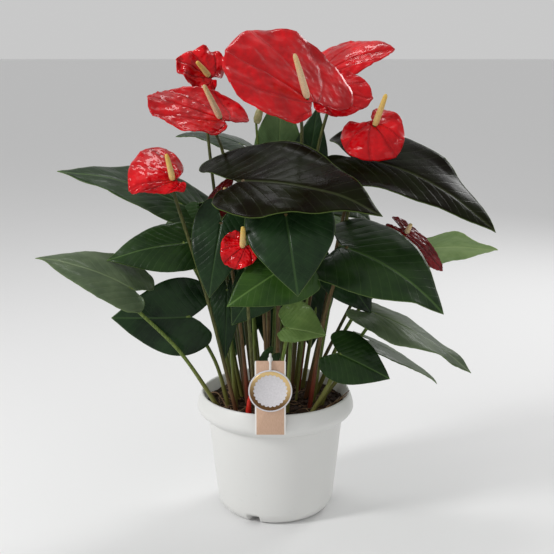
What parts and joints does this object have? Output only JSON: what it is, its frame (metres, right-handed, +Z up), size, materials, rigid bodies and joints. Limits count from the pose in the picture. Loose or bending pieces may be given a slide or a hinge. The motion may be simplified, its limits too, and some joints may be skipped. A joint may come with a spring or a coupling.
{
  "type": "potted anthurium",
  "caption": "Flowering anthurium with glossy red spathes and dark heart shaped leaves, rooted in soil in a white plastic nursery pot with a plant card.",
  "frame": {"origin": "centre of the pot's base, on the ground", "axes": "+Z up, -Y to the front where the plant card stands, +X to the right seen from the front"},
  "size_m": [0.4761, 0.2378, 0.5119],
  "materials": {
    "pot_plastic": "satin moulded white plastic",
    "potting_soil": "dark fibrous potting mix",
    "card_board": "matt tan card with a pale border",
    "badge_card": "round card with a bronze ring and a pale middle",
    "peg_plastic": "smooth white plastic",
    "leaf_green": "waxy dark green, glossy where it catches the light",
    "leaf_young": "waxy maroon brown young leaf",
    "leaf_pale": "pale green young leaf and underside",
    "stem_green": "smooth olive green stem, reddish brown at the foot",
    "spathe_red": "lacquered saturated red, puckered between the veins",
    "spadix_cream": "finely beaded cream to yellow spike on a green stalk",
    "sheath_red": "smooth bright red sheath"
  },
  "bodies": {
    "root": {"pot": "pot_plastic", "soil": "potting_soil", "plant_card": "card_board", "badge": "badge_card", "peg": "peg_plastic", "young_sheath": "sheath_red", "leaf_crown": "leaf_young", "leaf_centre_hang": "leaf_green", "leaf_front_bright": "leaf_green", "leaf_right_hang": "leaf_green", "leaf_right_top": "leaf_green", "leaf_right_pale": "leaf_pale", "leaf_right_low": "leaf_green", "leaf_right_thin": "leaf_green", "leaf_pot_right": "leaf_green", "leaf_young_pale": "leaf_pale", "leaf_left_low": "leaf_green", "leaf_left_long": "leaf_green", "leaf_left_mid": "leaf_green", "leaf_left_dark": "leaf_green", "leaf_dark_centre": "leaf_green", "leaf_back_left": "leaf_green", "leaf_back_right": "leaf_green", "petiole_crown": "stem_green", "petiole_centre_hang": "stem_green", "petiole_front_bright": "stem_green", "petiole_right_hang": "stem_green", "petiole_right_top": "stem_green", "petiole_right_pale": "stem_green", "petiole_right_low": "stem_green", "petiole_right_thin": "stem_green", "petiole_pot_right": "stem_green", "petiole_young_pale": "stem_green", "petiole_left_low": "stem_green", "petiole_left_long": "stem_green", "petiole_left_mid": "stem_green", "petiole_left_dark": "stem_green", "petiole_dark_centre": "stem_green", "petiole_back_left": "stem_green", "petiole_back_right": "stem_green", "spathe_main": "spathe_red", "spathe_left": "spathe_red", "spathe_small": "spathe_red", "spathe_back_right": "spathe_red", "spathe_behind": "spathe_red", "spathe_right": "spathe_red", "spathe_left_low": "spathe_red", "spathe_low_centre": "spathe_red", "spathe_shade_left": "spathe_red", "spathe_shade_right": "spathe_red", "flower_stalk_main": "spadix_cream", "flower_stalk_left": "spadix_cream", "flower_stalk_small": "spadix_cream", "flower_stalk_back_right": "spadix_cream", "flower_stalk_behind": "spadix_cream", "flower_stalk_right": "spadix_cream", "flower_stalk_left_low": "spadix_cream", "flower_stalk_low_centre": "spadix_cream", "flower_stalk_shade_left": "spadix_cream", "flower_stalk_shade_right": "spadix_cream"}
  },
  "joints": []
}
